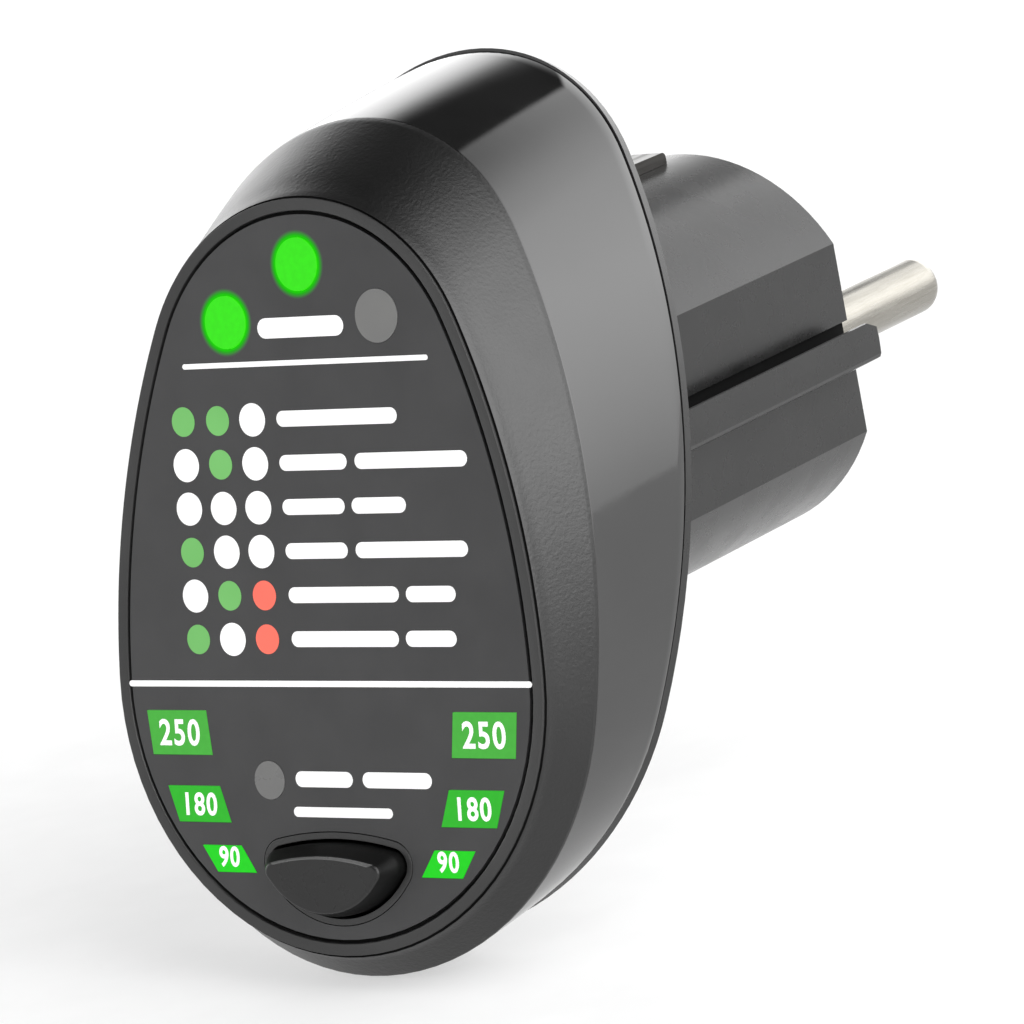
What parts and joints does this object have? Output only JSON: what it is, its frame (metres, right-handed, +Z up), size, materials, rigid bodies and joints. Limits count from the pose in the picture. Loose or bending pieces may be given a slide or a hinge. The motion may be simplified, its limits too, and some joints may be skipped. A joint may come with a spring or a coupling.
{
  "type": "outlet tester plug",
  "caption": "Plug-in socket tester: egg-shaped head with label card, indicator lenses and sprung test button, on a round two-pin plug with side earth clips.",
  "frame": {"origin": "centre of the plug's engagement face, midway between the two pins", "axes": "+Y along the pins, into the socket; +Z up; the label faces -Y and leans back 11.44 degrees; X across, with the line pin at +X"},
  "size_m": [0.0476, 0.0826, 0.067],
  "materials": {
    "shell": "fine texture on the face, gloss on the side band",
    "label": "satin film with white print",
    "plug_plastic": "satin",
    "pin_metal": "nickel-plated brass, fine turning marks",
    "clip_metal": "nickel-plated spring brass",
    "screw_metal": "zinc plated",
    "inner_plastic": "moulded",
    "board": "solder mask",
    "button": "satin black",
    "lens_lit": "diffusing, lit green",
    "lens_dark": "diffusing, unlit",
    "window_high": "translucent print, lit",
    "window_mid": "translucent print, lit",
    "window_low": "translucent print, lit",
    "led_epoxy": "diffused epoxy",
    "baffle": "white moulding",
    "chip": "moulded epoxy",
    "ceramic_body": "sintered",
    "film_box": "potted box",
    "can": "sleeved can",
    "resistor_body": "cement coat",
    "wire_brown": "PVC",
    "wire_blue": "PVC",
    "wire_green": "PVC"
  },
  "bodies": {
    "housing": {"board_screws": "screw_metal", "bridge_rectifier": "chip", "chip_capacitors": "ceramic_body", "chip_resistors": "chip", "controller_chip": "chip", "earth_bridge": "clip_metal", "earth_clip_bottom": "clip_metal", "earth_clip_top": "clip_metal", "earth_wire": "wire_green", "film_capacitor": "film_box", "front_shell": "shell", "fuse_resistor": "resistor_body", "head_screws": "screw_metal", "label_panel": "label", "led_centre": "led_epoxy", "led_left": "led_epoxy", "led_right": "led_epoxy", "led_test": "led_epoxy", "lens_centre": "lens_lit", "lens_left": "lens_lit", "lens_right": "lens_dark", "lens_test": "lens_dark", "level_leds": "led_epoxy", "light_baffle": "baffle", "line_pin": "pin_metal", "line_wire": "wire_brown", "load_resistor": "resistor_body", "main_board": "board", "neutral_pin": "pin_metal", "neutral_wire": "wire_blue", "pin_retainer": "inner_plastic", "rear_housing": "plug_plastic", "reservoir_capacitor": "can", "retainer_screws": "screw_metal", "switch_body": "inner_plastic", "window_high": "window_high", "window_low": "window_low", "window_mid": "window_mid"},
    "button": {"test_button": "button"},
    "plunger": {"switch_plunger": "inner_plastic"}
  },
  "joints": [
    {"name": "button_press", "type": "slide", "parent": "housing", "child": "button", "axis": [0, 0.9801, -0.1983], "range_m": [0, 0.0008], "stiffness_N_per_m": 600, "springref_m": -0.0006},
    {"name": "plunger_press", "type": "slide", "parent": "housing", "child": "plunger", "axis": [0, 0.9801, -0.1983], "range_m": [0, 0.0009]}
  ],
  "couplings": [
    {"joint": "plunger_press", "follows": "button_press", "ratio": 1}
  ]
}
